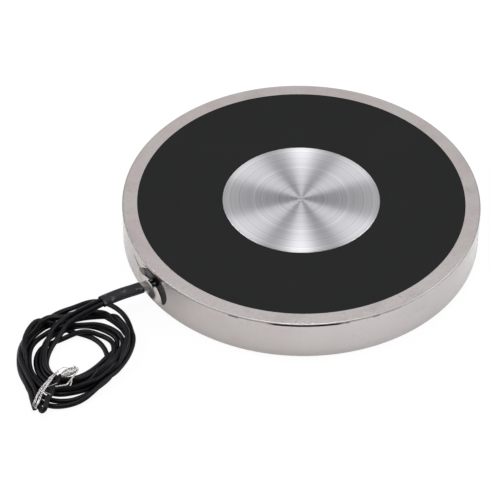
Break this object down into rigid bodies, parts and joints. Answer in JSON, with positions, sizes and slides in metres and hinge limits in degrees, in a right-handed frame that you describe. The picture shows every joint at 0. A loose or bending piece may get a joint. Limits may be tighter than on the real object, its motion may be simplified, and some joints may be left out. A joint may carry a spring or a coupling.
{
  "type": "holding electromagnet",
  "caption": "Thin round holding electromagnet with a steel pot, a bright centre pole, a cast-in coil and two black leads coiled in a loose hank.",
  "frame": {"origin": "centre of the back face, on the surface that the magnet stands on", "axes": "+Z out of the working face, -X through the cable pocket where the leads leave"},
  "size_m": [0.1487, 0.1, 0.012],
  "materials": {
    "nickel_plated_steel": "satin nickel plate on turned steel, slightly cloudy",
    "turned_steel": "face-turned bright, fine concentric lines",
    "casting_resin": "flat matt black, ground level with the face",
    "clear_sleeving": "translucent, smooth",
    "black_sleeving": "satin shrunk sleeve with light scuffs",
    "lead_insulation": "satin extruded insulation",
    "tinned_copper": "bright tinned strands",
    "bobbin_plastic": "natural moulded nylon",
    "enamelled_copper": "clear enamel on copper",
    "coil_tape": "yellow polyester tape",
    "solder": "dull solder"
  },
  "bodies": {
    "root": {"magnet_pot": "nickel_plated_steel", "centre_pole": "turned_steel", "potting_resin": "casting_resin", "clear_sleeve": "clear_sleeving", "black_sleeve": "black_sleeving", "lead_1": "lead_insulation", "lead_2": "lead_insulation", "lead_hank": "lead_insulation", "bare_strands_1": "tinned_copper", "bare_strands_2": "tinned_copper", "coil_bobbin": "bobbin_plastic", "coil_winding": "enamelled_copper", "coil_tape": "coil_tape", "start_tail": "enamelled_copper", "finish_tail": "enamelled_copper", "splice_sleeve_1": "black_sleeving", "splice_sleeve_2": "black_sleeving", "solder_joint_1": "solder", "solder_joint_2": "solder", "lead_tail_1": "lead_insulation", "lead_tail_2": "lead_insulation"}
  },
  "joints": []
}
